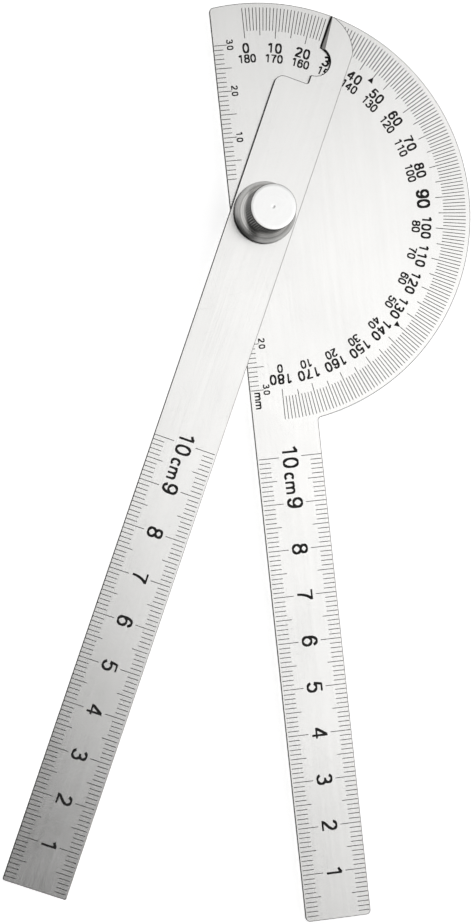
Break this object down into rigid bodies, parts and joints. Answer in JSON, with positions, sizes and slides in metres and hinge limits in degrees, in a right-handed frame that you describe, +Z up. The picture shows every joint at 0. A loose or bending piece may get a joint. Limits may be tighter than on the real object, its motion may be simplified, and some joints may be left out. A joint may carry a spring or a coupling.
{
  "type": "angle finder",
  "caption": "Half-round steel protractor with a fixed rule and a swinging ruled arm, clamped at the pivot by a knurled thumb nut.",
  "frame": {"origin": "on the pivot axis, at the flat underside of the stud's head, which the tool rests on", "axes": "+Z up along the pivot through the thumb nut; +Y from the pivot to the zero mark, so that the fixed rule runs along -Y; +X to the side that the half disc lies on"},
  "size_m": [0.1167, 0.1987, 0.0158],
  "materials": {
    "satin_plate": "satin stainless sheet, very fine lengthways grain",
    "satin_arm": "satin stainless strip, very fine lengthways grain",
    "turned_stud": "turned steel, fine concentric marks",
    "washer_steel": "plain pressed steel",
    "turned_nut": "bright turned metal with concentric marks and a straight knurl",
    "black_marking": "black filled etching, matt"
  },
  "bodies": {
    "scale_plate": {"protractor_plate": "satin_plate", "pivot_stud": "turned_stud"},
    "arm": {"swing_arm": "satin_arm"},
    "washer": {"clamp_washer": "washer_steel"},
    "nut": {"thumb_nut": "turned_nut"}
  },
  "joints": [
    {"name": "arm_swing", "type": "hinge", "parent": "scale_plate", "child": "arm", "pos_m": [0, 0, 0.00275], "axis": [0, 0, -1], "continuous": true},
    {"name": "nut_lift", "type": "slide", "parent": "scale_plate", "child": "washer", "axis": [0, 0, 1], "range_m": [0, 0.0021]},
    {"name": "nut_spin", "type": "hinge", "parent": "washer", "child": "nut", "pos_m": [0, 0, 0.009], "axis": [0, 0, 1], "range_deg": [0, 1080]}
  ],
  "couplings": [
    {"joint": "nut_lift", "follows": "nut_spin", "m_per_rad": 0.00011141}
  ]
}
